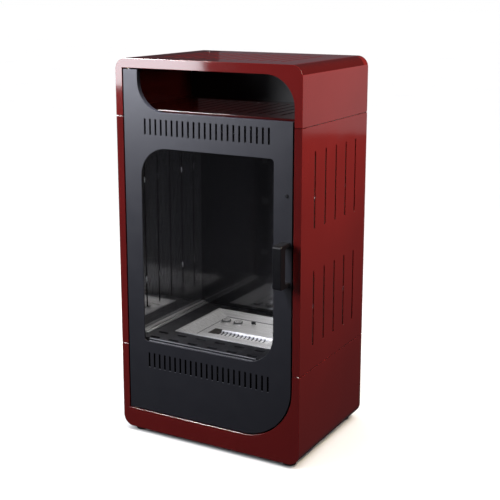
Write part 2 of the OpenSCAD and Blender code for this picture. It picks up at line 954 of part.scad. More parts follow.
module handle_screws() {
    color(ZINC) for (z = handle_screw_z) {
        pin_y(handle_x, y_f - handle_screw_l, z, handle_screw_r, handle_screw_l + door_t);
        pin_y(handle_x, y_f + door_t, z, handle_head_r, handle_head_h);
    }
}

// Block in the door's corner that carries a hinge pin, upwards from z
module hinge_block(z) {
    color(ZINC) difference() {
        box([door_l + door_t, y_f + door_t, z], [door_l + door_t + block_w, y_f + door_d, z + block_h]);
        translate([hinge_x, hinge_y, z - past]) cylinder(r = pin_r + press_play, h = block_h + 2 * past);
    }
}

module hinge_block_upper() {
    hinge_block(strip_top - door_t - block_h);
}

module hinge_block_lower() {
    hinge_block(door_bot + door_t);
}

// Length of a hinge pin, from inside its block to the end of its bush
pin_l = block_h + door_t + door_gap + sheet_t + hinge_plate_t;

module hinge_pin_upper() {
    color(STEEL) translate([hinge_x, hinge_y, strip_top - door_t - block_h]) cylinder(r = pin_r, h = pin_l);
}

module hinge_pin_lower() {
    color(STEEL) translate([hinge_x, hinge_y, door_bot + door_t + block_h - pin_l])
        cylinder(r = pin_r, h = pin_l);
}

module hinge_washer() {
    color(STEEL) translate([hinge_x, hinge_y, door_bot - door_gap + bush_flange_t + run_gap]) difference() {
        cylinder(r = bush_flange_r, h = door_gap - bush_flange_t - run_gap);
        translate([0, 0, -past]) cylinder(r = pin_r + press_play, h = door_gap + past);
    }
}

// Bolt that holds the strike plate, with its low round head on the door's face
module strike_bolt() {
    color(ANTHRACITE) {
        pin_y(strike_x, y_f - strike_head_h, strike_z, strike_head_r, strike_head_h);
        pin_y(strike_x, y_f - past, strike_z, stud_r, past + door_d - strike_t);
    }
}

module strike_plate() {
    color(ZINC) pin_y(strike_x, y_f + door_d - strike_t, strike_z, strike_r, strike_t);
}

// Burner

// Solid between a level rectangle at z0, centred on x = 0 and y0, and a larger one at z1, centred on y1
module frustum(y0, w0, d0, z0, y1, w1, d1, z1) {
    corners = [[-1, -1], [1, -1], [1, 1], [-1, 1]];
    polyhedron(
        points = concat(
            [for (c = corners) [c[0] * w0 / 2, y0 + c[1] * d0 / 2, z0]],
            [for (c = corners) [c[0] * w1 / 2, y1 + c[1] * d1 / 2, z1]]),
        faces = [[0, 1, 2, 3], [7, 6, 5, 4], [0, 4, 5, 1], [1, 5, 6, 2], [2, 6, 7, 3], [3, 7, 4, 0]]);
}

// Funnel between the hearth and the deck, grown by a distance
module funnel(grow) {
    g = 2 * grow;
    frustum(burner_y, deck_w + g, deck_d + g, deck_z - grow, burner_y, burner_w + g, burner_d + g, hearth_z);
}

// Space of the flame trough below the deck, grown by a distance
module trough_hollow(grow) {
    g = 2 * grow;
    frustum(port_y, trough_l - 2 * trough_end + g, trough_floor_w + g, trough_z - grow,
        trough_y, trough_l + g, trough_w + g, deck_z);
}

// Slot in the deck that the regulator's stem moves in
module stem_slot() {
    box([knob_x - stem_w / 2 - loose, stem_y - stem_w / 2 - loose, deck_z - burner_t - past],
        [knob_x + stem_w / 2 + regulator_travel + loose, stem_y + stem_w / 2 + loose, deck_z + past]);
}

module burner_tray() {
    flange_w = burner_w + 2 * tray_rim;
    flange_d = burner_d + 2 * tray_rim;
    color(STEEL) difference() {
        union() {
            box([-flange_w / 2, burner_y - flange_d / 2, hearth_z],
                [flange_w / 2, burner_y + flange_d / 2, hearth_z + burner_t]);
            funnel(burner_t);
        }
        box([-burner_w / 2, burner_y - burner_d / 2, hearth_z],
            [burner_w / 2, burner_y + burner_d / 2, hearth_z + burner_t + past]);
        funnel(0);
        box([-trough_l / 2 - burner_t, trough_y - trough_w / 2 - burner_t, deck_z - burner_t - past],
            [trough_l / 2 + burner_t, trough_y + trough_w / 2 + burner_t, deck_z + past]);
        for (x = cap_x) translate([x, cap_y, deck_z - burner_t - past])
            cylinder(r = neck_r + press_play, h = burner_t + 2 * past);
        stem_slot();
    }
}

// Cuts for the row of flame ports, between two heights
module ports(z0, z1) {
    row_x(port_n, port_pitch) translate([0, port_y, 0]) rotate([0, 0, 90])
        oblong(0, 0, port_l, port_w, z0, z1);
}

// Trough let into the deck, with the flame ports along its floor
module flame_trough() {
    color(STEEL) difference() {
        trough_hollow(burner_t);
        trough_hollow(0);
        ports(trough_z - burner_t, trough_z);
    }
}

module fuel_tank() {
    color(ANTHRACITE) difference() {
        box([-tank_w / 2, burner_y - tank_d / 2, tank_top - tank_h],
            [tank_w / 2, burner_y + tank_d / 2, tank_top]);
        box([-tank_w / 2 + tank_t, burner_y - tank_d / 2 + tank_t, tank_top - tank_h + tank_t],
            [tank_w / 2 - tank_t, burner_y + tank_d / 2 - tank_t, tank_top + past]);
    }
}

module wool_pad() {
    in = tank_t + loose;
    z0 = tank_top - tank_h + tank_t;
    color("ivory") box([-tank_w / 2 + in, burner_y - tank_d / 2 + in, z0],
        [tank_w / 2 - in, burner_y + tank_d / 2 - in, z0 + pad_h]);
}

module filler_necks() {
    color(STEEL) for (x = cap_x) translate([x, cap_y, deck_z - neck_down]) difference() {
        cylinder(r = neck_r, h = neck_down + neck_up);
        translate([0, 0, -past]) cylinder(r = neck_r - neck_t, h = neck_down + neck_up + 2 * past);
    }
}

// Cap with a plug that drops into its neck and two blind finger holes
module cap(x) {
    z0 = deck_z + neck_up;
    color(STEEL) translate([x, cap_y, z0]) difference() {
        union() {
            cylinder(r = cap_r, h = cap_h);
            translate([0, 0, -cap_plug]) cylinder(r = neck_r - neck_t - run_gap, h = cap_plug);
        }
        for (s = [-1, 1]) translate([s * cap_hole_x, 0, cap_h - cap_hole_depth])
            cylinder(r = cap_hole_r, h = cap_hole_depth + past);
    }
}

module filler_cap() {
    cap(cap_x[1]);
}

module vent_cap() {
    cap(cap_x[0]);
}

// Staples under the trough that the regulator slides in
module slide_guides() {
    y0 = strip_d / 2 + run_gap;
    z0 = strip_top_z - strip_t - run_gap;
    color(STEEL) for (x = [-guide_x, guide_x]) translate([x, port_y, 0]) difference() {
        box([-guide_l / 2, -y0 - guide_t, z0 - guide_t], [guide_l / 2, y0 + guide_t, trough_z - burner_t]);
        box([-guide_l / 2 - past, -y0, z0], [guide_l / 2 + past, y0, trough_z - burner_t + past]);
    }
}

// Perforated strip under the flame ports, with an arm and a stem up through the deck
module regulator_slide() {
    l = guide_x + guide_l / 2 + regulator_travel + strip_over;
    z0 = strip_top_z - strip_t;
    color(STEEL) difference() {
        union() {
            box([-l, port_y - strip_d / 2, z0], [l, port_y + strip_d / 2, strip_top_z]);
            box([knob_x - arm_w / 2, port_y, z0],
                [knob_x + arm_w / 2, stem_y + stem_w / 2, strip_top_z]);
            box([knob_x - stem_w / 2, stem_y - stem_w / 2, z0],
                [knob_x + stem_w / 2, stem_y + stem_w / 2, deck_z + run_gap]);
        }
        ports(z0, strip_top_z);
    }
}

module regulator_knob() {
    color(RUBBER) translate([knob_x, stem_y, deck_z + run_gap]) cylinder(r = knob_r, h = knob_h);
}

hood_shell();
side_panel_left();
side_panel_right();
base_shell();
rear_panel();
rear_screws();
tie_plates();
tie_nuts();
shelf_supports();
niche_floor();
niche_back();
hearth_supports();
hearth_plate();
hearth_rail_left();
hearth_rail_right();
liner_left();
liner_right();
liner_back();
liner_top();
liner_spacers();
hinge_plate_upper();
hinge_plate_lower();
hinge_bush_upper();
hinge_bush_lower();
catch_bracket();
catch_magnet();
feet();
foot_screws();
foot_nuts();
door_panel();
door_glass();
glass_seal();
glass_rail();
glass_clips();
clip_screws();
door_handle();
handle_screws();
hinge_block_upper();
hinge_block_lower();
hinge_pin_upper();
hinge_pin_lower();
hinge_washer();
strike_bolt();
strike_plate();
burner_tray();
flame_trough();
fuel_tank();
wool_pad();
filler_necks();
slide_guides();
filler_cap();
vent_cap();
regulator_slide();
regulator_knob();
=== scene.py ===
import json
import math
import random

import bmesh
import bpy
from mathutils import Matrix, Vector, noise


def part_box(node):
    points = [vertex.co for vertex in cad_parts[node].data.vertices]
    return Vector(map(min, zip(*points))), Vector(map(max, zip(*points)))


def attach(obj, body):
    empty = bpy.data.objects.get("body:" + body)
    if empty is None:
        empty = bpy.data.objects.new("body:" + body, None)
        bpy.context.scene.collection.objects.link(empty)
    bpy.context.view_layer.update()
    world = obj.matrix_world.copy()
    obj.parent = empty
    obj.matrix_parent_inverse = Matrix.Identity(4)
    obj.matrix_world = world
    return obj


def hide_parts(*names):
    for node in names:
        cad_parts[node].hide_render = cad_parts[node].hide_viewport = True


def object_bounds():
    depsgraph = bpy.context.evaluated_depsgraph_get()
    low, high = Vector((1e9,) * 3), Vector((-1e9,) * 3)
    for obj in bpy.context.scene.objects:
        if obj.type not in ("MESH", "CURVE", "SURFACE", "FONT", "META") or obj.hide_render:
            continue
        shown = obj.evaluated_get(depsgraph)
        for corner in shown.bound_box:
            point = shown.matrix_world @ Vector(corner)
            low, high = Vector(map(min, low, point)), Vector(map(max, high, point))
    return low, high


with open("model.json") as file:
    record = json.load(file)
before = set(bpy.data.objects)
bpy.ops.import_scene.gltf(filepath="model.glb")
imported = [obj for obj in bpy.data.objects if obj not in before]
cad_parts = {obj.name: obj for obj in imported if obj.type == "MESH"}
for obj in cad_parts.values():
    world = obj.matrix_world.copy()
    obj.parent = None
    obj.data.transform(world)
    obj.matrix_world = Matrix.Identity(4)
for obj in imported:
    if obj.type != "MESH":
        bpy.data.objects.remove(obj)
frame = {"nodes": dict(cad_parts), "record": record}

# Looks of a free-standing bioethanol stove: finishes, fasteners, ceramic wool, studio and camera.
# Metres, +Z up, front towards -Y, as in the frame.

cad_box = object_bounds()
nodes = frame["nodes"]
MM = 0.001


# Node trees

class Finish:
    """A material under construction: its tree, its main shader and the object's own coordinates."""

    def __init__(self, name, values):
        self.material = bpy.data.materials.new(name)
        self.material.use_nodes = True
        self.tree = self.material.node_tree
        self.shader = self.tree.nodes["Principled BSDF"]
        for socket, value in values.items():
            self.shader.inputs[socket].default_value = value
        self.place = self.node("ShaderNodeTexCoord").outputs["Object"]

    def node(self, kind, inputs=None, **settings):
        """New node with these settings; each input is a number, a colour or another node's output."""
        made = self.tree.nodes.new(kind)
        for key, value in settings.items():
            setattr(made, key, value)
        for key, value in (inputs or {}).items():
            if isinstance(value, bpy.types.NodeSocket):
                self.tree.links.new(value, made.inputs[key])
            else:
                made.inputs[key].default_value = value
        return made

    def number(self, operation, *values):
        """Result of arithmetic on numbers or other nodes' outputs."""
        return self.node("ShaderNodeMath", dict(enumerate(values)), operation=operation).outputs[0]

    def vector(self, operation, *values):
        """Result of arithmetic on vectors or other nodes' outputs."""
        return self.node("ShaderNodeVectorMath", dict(enumerate(values)), operation=operation).outputs[0]

    def noise(self, per_metre, detail=3.0, roughness=0.55):
        """Noise from 0 to 1 with this many features per metre along X, Y and Z."""
        scaled = {"Vector": self.place, "Scale": per_metre}
        spread = self.node("ShaderNodeMapping", scaled, vector_type="POINT").outputs[0]
        values = {"Vector": spread, "Scale": 1.0, "Detail": detail, "Roughness": roughness}
        return self.node("ShaderNodeTexNoise", values).outputs[0]

    def cells(self, per_metre):
        """Random shade from 0 to 1 for each cell of a crystal pattern."""
        cells = self.node("ShaderNodeTexVoronoi", {"Vector": self.place, "Scale": per_metre})
        return self.node("ShaderNodeSeparateColor", {"Color": cells.outputs["Color"]}).outputs[0]

    def span(self, source, low, high, start=0.3, end=0.7):
        """Numbers from low to high as the source goes from start to end."""
        values = {"Value": source, "From Min": start, "From Max": end, "To Min": low, "To Max": high}
        return self.node("ShaderNodeMapRange", values).outputs[0]

    def within(self, low, high):
        """1 inside the box from low to high, in metres, and 0 outside it."""
        centre = [(a + b) / 2 for a, b in zip(low, high)]
        half = [(b - a) / 2 for a, b in zip(low, high)]
        share = self.vector("DIVIDE", self.vector("SUBTRACT", self.place, centre), half)
        x, y, z = self.node("ShaderNodeSeparateXYZ", {0: self.vector("ABSOLUTE", share)}).outputs
        widest = self.number("MAXIMUM", self.number("MAXIMUM", x, y), z)
        return self.number("LESS_THAN", widest, 1.0)

    def along(self, axis):
        """The object's own coordinate along axis 0, 1 or 2, in metres."""
        return self.node("ShaderNodeSeparateXYZ", {0: self.place}).outputs[axis]

    def stripes(self, pitch, width, start):
        """1 in soft stripes of this width across X, at every pitch from the start, and 0 between."""
        aside = self.number("PINGPONG", self.number("SUBTRACT", self.along(0), start), pitch / 2)
        return self.span(aside, 1.0, 0.0, width / 4, 3 * width / 4)

    def ring(self, centre, inner, outer):
        """1 between two radii round an upright axis through the centre, and 0 elsewhere."""
        flat = self.vector("MULTIPLY", self.vector("SUBTRACT", self.place, centre), (1, 1, 0))
        radius = self.node("ShaderNodeVectorMath", {0: flat}, operation="LENGTH").outputs["Value"]
        return self.number("COMPARE", radius, (inner + outer) / 2, (outer - inner) / 2)

    def both(self, first, second):
        """Product of two shares."""
        return self.number("MULTIPLY", first, second)

    def mixed(self, share, first, second):
        """First colour where the share is 0 and second where it is 1."""
        mix = self.node("ShaderNodeMix", data_type="RGBA")
        first_in, second_in = [s for s in mix.inputs if s.type == "RGBA"]
        self.tree.links.new(share, mix.inputs[0])
        for socket, colour in ((first_in, first), (second_in, second)):
            if isinstance(colour, bpy.types.NodeSocket):
                self.tree.links.new(colour, socket)
            else:
                socket.default_value = (*colour, 1)
        return [s for s in mix.outputs if s.type == "RGBA"][0]

    def painted(self, tone, box, colour):
        """A tone, with another colour inside a box."""
        return self.mixed(self.within(*box), tone, colour)

    def tint(self, source, low, high, start=0.3, end=0.7):
        """Colours from low to high as the source goes from start to end."""
        ramp = self.node("ShaderNodeValToRGB", {"Fac": source})
        for stop, place, colour in zip(ramp.color_ramp.elements, (start, end), (low, high)):
            stop.position = place
            stop.color = (*colour, 1)
        return ramp.outputs[0]

    def set(self, socket, source):
        """Drives one of the shader's inputs."""
        self.tree.links.new(source, self.shader.inputs[socket])

    def bump(self, *layers):
        """Relief from pairs of a height source and its depth in metres."""
        normal = None
        for height, depth in layers:
            values = {"Height": height, "Distance": depth, "Strength": 1.0}
            if normal:
                values["Normal"] = normal
            normal = self.node("ShaderNodeBump", values).outputs[0]
        self.set("Normal", normal)


def even(per_metre):
    """The same scale along X, Y and Z."""
    return (per_metre,) * 3


def shade(colour, factor):
    """A colour made lighter or darker."""
    return tuple(c * factor for c in colour)


def grey(level):
    """A colour with the same level of red, green and blue."""
    return (level,) * 3


# Boxes in which a finish changes or shade or a highlight is painted; their margins keep faces from lying
# on a box

FACE_MARGIN = 1 * MM
FINE_MARGIN = 0.1 * MM
PORT_COUNT = 12
PORT_PITCH = 10 * MM
PORT_SHADE_WIDTH = 4 * MM
PORT_SHADE_DEPTH = 10.5 * MM
PORT_SHADE_TOP = 6.5 * MM
PORT_SHADE_FADE = 2 * MM


def grown(box, margin):
    """A box made larger by a margin on every side."""
    rim = Vector((margin,) * 3)
    return box[0] - rim, box[1] + rim


def cabinet_inside():
    """Box of the closed space under the niche, whose inside is painted near-black as painted shade."""
    skin = 1 * MM
    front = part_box("door_panel")[1].y
    low = Vector((cad_box[0].x + skin, front, cad_box[0].z))
    high = Vector((cad_box[1].x - skin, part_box("rear_panel")[1].y - skin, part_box("niche_floor")[0].z))
    return low, high


def niche_inside():
    """Box of the open niche, whose enamel is painted darker as painted shade."""
    skin = 0.7 * MM
    hood_low, hood_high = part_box("hood_shell")
    low = Vector((hood_low.x + skin, hood_low.y + skin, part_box("niche_floor")[0].z))
    high = Vector((hood_high.x - skin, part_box("niche_back")[1].y, hood_high.z - skin))
    return low, high


def trough_end():
    """Box of the flame trough's left end, which is painted dark as painted shade."""
    stain = 20 * MM
    low, high = grown(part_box("flame_trough"), FACE_MARGIN)
    return low, Vector((low.x + stain, high.y, high.z))


def trough_back():
    """Box of the flame trough's rear wall, which is painted darker as painted shade."""
    wall = 8 * MM
    low, high = grown(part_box("flame_trough"), FACE_MARGIN)
    return Vector((low.x, high.y - wall, low.z)), high


def trough_foot():
    """Box of the lower half of that wall, next to the ports, painted darker still as painted shade."""
    low, high = trough_back()
    return low, Vector((high.x, high.y, (low.z + high.z) / 2 + FACE_MARGIN))


def above_ports():
    """Box of the rear wall's foot over the ports, with its stripes of painted shade."""
    low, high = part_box("flame_trough")
    half_row = PORT_PITCH * PORT_COUNT / 2
    middle = (low.x + high.x) / 2
    row_low = Vector((middle - half_row, high.y - PORT_SHADE_DEPTH, low.z))
    row_high = Vector((middle + half_row, high.y, low.z + PORT_SHADE_TOP))
    return row_low, row_high


def below_trough():
    """Box under the flame trough's floor, painted near-black as painted shade."""
    sheet = 1.15 * MM
    depth = 10 * MM
    low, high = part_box("flame_trough")
    return Vector((low.x, low.y, low.z - depth)), Vector((high.x, high.y, low.z + sheet))


def below_top(node, depth):
    """Box of a node without the layer of this depth at its top."""
    low, high = grown(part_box(node), FINE_MARGIN)
    return low, Vector((high.x, high.y, high.z - depth))


def deck_box(margin):
    """Box round the sunken deck of the burner tray, with a margin at its sides."""
    rise = 4 * MM
    corners = [v.co for v in nodes["burner_tray"].data.vertices]
    bottom = min(c.z for c in corners)
    deck = [c for c in corners if c.z < bottom + FINE_MARGIN]
    across = [c.x for c in deck]
    back = [c.y for c in deck]
    low = Vector((min(across) - margin, min(back) - margin, bottom - FACE_MARGIN))
    high = Vector((max(across) + margin, max(back) + margin, bottom + rise))
    return low, high


def trim_edges():
    """Boxes of the two edges along the glass rail, its top and the step below, which get a painted
    highlight.
    """
    step = 5 * MM
    width = 1.2 * MM
    low, high = grown(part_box("glass_rail"), FINE_MARGIN)
    tops = (high.z, high.z - step)
    return [(Vector((low.x, low.y, top - width)), Vector((high.x, high.y, top))) for top in tops]


# Finishes, one function for each material slot

# Near-black painted shade, under the trough's floor and over its ports.
PAINTED_SHADE_BLACK = grey(0.02)
RIM_INSIDE = 0.78
RIM_OUTSIDE = 1.1


def red_enamel():
    red = (0.155, 0.0112, 0.0105)
    inside_shade = (0.012, 0.010, 0.010)
    f = Finish("red_enamel", {"Specular IOR Level": 0.5, "Coat Weight": 0.35, "Coat Roughness": 0.05})
    paint = f.tint(f.noise(even(5)), shade(red, 0.92), shade(red, 1.08))
    # Painted shade: the niche's inside is a darker red.
    paint = f.painted(paint, niche_inside(), shade(red, 0.42))
    # Painted shade: the inside of the closed space is near-black.
    f.set("Base Color", f.painted(paint, cabinet_inside(), inside_shade))
    f.set("Roughness", f.span(f.noise(even(24)), 0.07, 0.1))
    f.bump((f.noise(even(420), detail=1.0), 0.02 * MM), (f.noise(even(7), detail=1.0), 0.9 * MM))
    return f.material


def anthracite_enamel():
    slate = (0.012, 0.0122, 0.0155)
    f = Finish("anthracite_enamel", {"Specular IOR Level": 0.5})
    f.set("Base Color", f.tint(f.noise(even(900), detail=2.0), shade(slate, 0.8), shade(slate, 1.25)))
    f.set("Roughness", f.span(f.noise(even(30)), 0.36, 0.43))
    f.bump((f.noise(even(1500), detail=2.0), 0.05 * MM))
    return f.material


def hearth_enamel():
    black = (0.019, 0.019, 0.02)
    f = Finish("hearth_enamel", {"Specular IOR Level": 0.4})
    f.set("Base Color", f.tint(f.noise(even(700)), shade(black, 0.7), shade(black, 1.5)))
    f.set("Roughness", f.span(f.noise(even(40)), 0.42, 0.55))
    f.bump((f.noise(even(1200), detail=2.0), 0.06 * MM))
    return f.material


def handle_plastic():
    black = (0.006, 0.006, 0.008)
    f = Finish("handle_plastic", {"Specular IOR Level": 0.5})
    f.set("Base Color", f.tint(f.noise(even(1100)), shade(black, 0.8), shade(black, 1.3)))
    f.set("Roughness", f.span(f.noise(even(60)), 0.3, 0.38))
    f.bump((f.noise(even(1900), detail=1.0), 0.04 * MM))
    return f.material


def mirror_steel():
    f = Finish("mirror_steel", {"Metallic": 0.84})
    streaks = f.noise((260, 260, 6))
    clean = f.tint(f.noise(even(9)), (0.42, 0.42, 0.43), grey(0.5))
    smoked = (0.13, 0.13, 0.135)
    f.set("Base Color", f.painted(clean, grown(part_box("liner_back"), FACE_MARGIN), smoked))
    f.set("Roughness", f.span(streaks, 0.04, 0.1))
    f.bump((f.noise(even(6), detail=1.0), 0.6 * MM))
    return f.material


def brushed_steel():
    crease_shade = grey(0.3)
    crease_out = 0.5 * MM
    crease_in = 2 * MM
    f = Finish("brushed_steel", {"Metallic": 0.8})
    lines = f.noise((9, 260, 260), detail=5.0)
    clean = f.tint(lines, (0.6, 0.6, 0.59), (0.88, 0.88, 0.87))
    # Painted shade: a dark band along the crease round the sunken deck.
    tone = f.painted(clean, deck_box(crease_out), crease_shade)
    tone = f.painted(tone, deck_box(-crease_in), clean)
    # Painted shade: near-black under the trough's floor.
    f.set("Base Color", f.painted(tone, below_trough(), PAINTED_SHADE_BLACK))
    f.set("Roughness", f.span(f.noise((5, 60, 60)), 0.3, 0.38))
    f.bump((lines, 0.001 * MM))
    return f.material


def cap_marks(f, tone, cap):
    """Painted shade on a cap: a dark ring at its rim and a darker side."""
    top_sheet = 0.4 * MM
    rim = grey(0.07)
    side = grey(0.12)
    low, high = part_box(cap)
    radius = (high.x - low.x) / 2
    tone = f.mixed(f.ring((low + high) / 2, RIM_INSIDE * radius, RIM_OUTSIDE * radius), tone, rim)
    return f.painted(tone, below_top(cap, top_sheet), side)


def trough_marks(f, tone):
    """Bright trough with painted shade: a darker rear wall and foot, a dark stripe over each port, a dark
    left end and near-black under the floor.
    """
    clean = (0.9, 0.9, 0.89)
    back_wall_shade = grey(0.6)
    foot_shade = grey(0.3)
    end_shade = (0.06, 0.055, 0.05)
    low, high = above_ports()
    streaks = f.stripes(PORT_PITCH, PORT_SHADE_WIDTH, low.x + PORT_PITCH / 2)
    fading = f.span(f.along(2), 1.0, 0.0, high.z - PORT_SHADE_FADE, high.z)
    port_shade = f.both(f.within(low, high), f.both(streaks, fading))
    tone = f.painted(tone, grown(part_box("flame_trough"), FACE_MARGIN), clean)
    # Painted shade: the rear wall is darker.
    tone = f.painted(tone, trough_back(), back_wall_shade)
    # Painted shade: the lower half of the rear wall is darker still.
    tone = f.painted(tone, trough_foot(), foot_shade)
    # Painted shade: a dark stripe over each port, fading towards its top.
    tone = f.mixed(port_shade, tone, PAINTED_SHADE_BLACK)
    # Painted shade: the trough's left end is dark.
    tone = f.painted(tone, trough_end(), end_shade)
    # Painted shade: near-black under the trough's floor.
    return f.painted(tone, below_trough(), PAINTED_SHADE_BLACK)


def trim_marks(f, tone):
    """Blackened glass rail with a painted highlight along two edges."""
    blackened = (0.06, 0.06, 0.063)
    edge_highlight = grey(0.85)
    tone = f.painted(tone, grown(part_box("glass_rail"), FACE_MARGIN), blackened)
    for edge in trim_edges():
        # Painted highlight along the edge.
        tone = f.painted(tone, edge, edge_highlight)
    return tone


def bright_steel():
    f = Finish("bright_steel", {"Metallic": 0.75})
    lines = f.noise((300, 4, 300), detail=2.0)
    tone = f.tint(lines, (0.3, 0.3, 0.29), (0.9, 0.9, 0.89))
    for cap in ("filler_cap", "vent_cap"):
        tone = cap_marks(f, tone, cap)
    tone = trough_marks(f, tone)
    tone = trim_marks(f, tone)
    f.set("Base Color", tone)
    f.set("Roughness", f.span(f.noise(even(60)), 0.3, 0.36))
    f.bump((lines, 0.001 * MM))
    return f.material


def zinc_steel():
    f = Finish("zinc_steel", {"Metallic": 1.0})
    f.set("Base Color", f.tint(f.cells(160), (0.46, 0.47, 0.48), (0.6, 0.61, 0.62), 0.0, 1.0))
    f.set("Roughness", f.span(f.noise(even(220)), 0.32, 0.48))
    f.bump((f.noise(even(900)), 0.02 * MM))
    return f.material


def bronze():
    f = Finish("bronze", {"Metallic": 1.0})
    f.set("Base Color", f.tint(f.noise(even(1400)), (0.36, 0.23, 0.09), (0.58, 0.4, 0.17)))
    f.set("Roughness", f.span(f.noise(even(600)), 0.3, 0.5))
    f.bump((f.noise(even(2600)), 0.03 * MM))
    return f.material


def clear_glass():
    f = Finish("clear_glass", {"Transmission Weight": 1.0, "IOR": 1.47, "Roughness": 0.0})
    f.set("Base Color", f.tint(f.noise(even(4)), (0.86, 0.86, 0.885), (0.89, 0.89, 0.915)))
    open_pane = f.node("ShaderNodeBsdfTransparent", {"Color": (0.85, 0.85, 0.875, 1)})
    lamp = f.node("ShaderNodeLightPath").outputs["Is Shadow Ray"]
    mixed = f.node("ShaderNodeMixShader", {0: lamp, 1: f.shader.outputs[0], 2: open_pane.outputs[0]})
    f.tree.links.new(mixed.outputs[0], f.tree.nodes["Material Output"].inputs["Surface"])
    return f.material


def rubber():
    f = Finish("rubber", {"Specular IOR Level": 0.35})
    f.set("Base Color", f.tint(f.noise(even(300)), grey(0.012), (0.028, 0.028, 0.027)))
    f.set("Roughness", f.span(f.noise(even(90)), 0.68, 0.85))
    f.bump((f.noise(even(1300)), 0.08 * MM))
    return f.material


def black_plastic():
    f = Finish("black_plastic", {"Specular IOR Level": 0.45})
    f.set("Base Color", f.tint(f.noise(even(500)), (0.017, 0.017, 0.018), (0.03, 0.03, 0.031)))
    f.set("Roughness", f.span(f.noise(even(120)), 0.42, 0.55))
    f.bump((f.noise(even(1700)), 0.05 * MM))
    return f.material


def ceramic_wool():
    f = Finish("ceramic_wool", {"Sheen Weight": 0.4, "Sheen Roughness": 0.6, "Roughness": 0.95})
    fibres = f.noise((120, 900, 500), detail=6.0)
    f.set("Base Color", f.tint(fibres, (0.3, 0.285, 0.25), (0.5, 0.485, 0.44)))
    f.bump((fibres, 0.6 * MM))
    return f.material


FINISHES = {
    made.__name__: made()
    for made in (red_enamel, anthracite_enamel, hearth_enamel, handle_plastic, mirror_steel,
                 brushed_steel, bright_steel, zinc_steel, bronze, clear_glass, rubber,
                 black_plastic, ceramic_wool)
}
SLOT_OF = {part["node"]: part["material_slot"] for part in frame["record"]["subparts"]}


# Edges of the CAD nodes

EDGE_ANGLE = math.radians(38)
FLAT_ANGLE = math.radians(0.4)
JOIN_DISTANCE = 0.002 * MM
EDGE_SEGMENTS = 2
EDGE_WIDTH = {
    "red_enamel": 0.7 * MM, "anthracite_enamel": 0.6 * MM, "hearth_enamel": 0.5 * MM,
    "handle_plastic": 1.4 * MM, "mirror_steel": 0.5 * MM, "brushed_steel": 0.25 * MM,
    "bright_steel": 0.4 * MM, "zinc_steel": 0.25 * MM, "bronze": 0.15 * MM,
    "clear_glass": 0.4 * MM, "rubber": 0.3 * MM, "black_plastic": 0.5 * MM,
    "ceramic_wool": 0.5 * MM,
}
FINE_EDGES = {
    "glass_rail": 0.05 * MM, "flame_trough": 0.15 * MM, "hearth_plate": 0.2 * MM,
    "liner_left": 0.1 * MM, "liner_right": 0.1 * MM, "liner_back": 0.1 * MM,
}


def smooth_group():
    """Geometry nodes that shade a whole mesh smoothly, without the normals it came with."""
    group = bpy.data.node_groups.new("smooth_shading", "GeometryNodeTree")
    group.interface.new_socket("Geometry", in_out="INPUT", socket_type="NodeSocketGeometry")
    group.interface.new_socket("Geometry", in_out="OUTPUT", socket_type="NodeSocketGeometry")
    start = group.nodes.new("NodeGroupInput")
    normals = group.nodes.new("GeometryNodeSetMeshNormal")
    normals.mode = "SHARPNESS"
    normals.inputs["Remove Custom"].default_value = True
    normals.inputs["Edge Sharpness"].default_value = False
    normals.inputs["Face Sharpness"].default_value = False
    end = group.nodes.new("NodeGroupOutput")
    group.links.new(start.outputs[0], normals.inputs["Mesh"])
    group.links.new(normals.outputs[0], end.inputs[0])
    return group


def soften(piece, width, group):
    """Rounds the sharp edges of a CAD node."""
    weld = piece.modifiers.new("join", "WELD")
    weld.merge_threshold = JOIN_DISTANCE
    flat = piece.modifiers.new("flat", "DECIMATE")
    flat.decimate_type = "DISSOLVE"
    flat.angle_limit = FLAT_ANGLE
    smooth = piece.modifiers.new("smooth", "NODES")
    smooth.node_group = group
    edge = piece.modifiers.new("edge", "BEVEL")
    edge.width = width
    edge.segments = EDGE_SEGMENTS
    edge.limit_method = "ANGLE"
    edge.angle_limit = EDGE_ANGLE
    edge.use_clamp_overlap = False
    edge.harden_normals = True


smoothing = smooth_group()
for name, piece in nodes.items():
    piece.material_slots[0].material = FINISHES[SLOT_OF[name]]
    soften(piece, FINE_EDGES.get(name, EDGE_WIDTH[SLOT_OF[name]]), smoothing)


# Screws with cross recesses, in the places of their plain solids

HEAD_SHARE = 0.9
HEAD_PROFILE = ((1.0, 0.0), (1.0, 0.3), (0.95, 0.62), (0.82, 0.86), (0.6, 0.97), (0.3, 1.0))
RECESS_LENGTH = 0.62
RECESS_WIDTH = 0.14
RECESS_DEPTH = 0.6
RECESS_TAPER = 0.6
ROUND_STEPS = 40
SHARP_ANGLE = math.radians(35)


def loose_solids(node):
    """Corners of each separate solid of a CAD node."""
    mesh = bmesh.new()
    mesh.from_mesh(nodes[node].data)
    bmesh.ops.remove_doubles(mesh, verts=mesh.verts, dist=JOIN_DISTANCE)
    mesh.verts.index_update()
    seen = set()
    solids = []
    for first in mesh.verts:
        if first.index in seen:
            continue
        seen.add(first.index)
        waiting = [first]
        solid = []
        while waiting:
            corner = waiting.pop()
            solid.append(corner.co.copy())
            for edge in corner.link_edges:
                other = edge.other_vert(corner)
                if other.index not in seen:
                    seen.add(other.index)
                    waiting.append(other)
        solids.append(solid)
    mesh.free()
    return solids


def screw_sizes(corners, axis):
    """Head's foot on the axis, head radius and height, shank radius and length."""
    sides = [[f(c[k] for c in corners) for k in range(3)] for f in (min, max)]
    middle = (Vector(sides[0]) + Vector(sides[1])) / 2
    along = [(c - middle).dot(axis) for c in corners]
    wide = [(c - middle - axis * a).length for c, a in zip(corners, along)]
    head_r = max(wide)
    head = [a for a, w in zip(along, wide) if w > HEAD_SHARE * head_r]
    shank = [w for a, w in zip(along, wide) if a < min(head) - JOIN_DISTANCE]
    return middle + axis * min(head), head_r, max(head) - min(head), max(shank), min(head) - min(along)


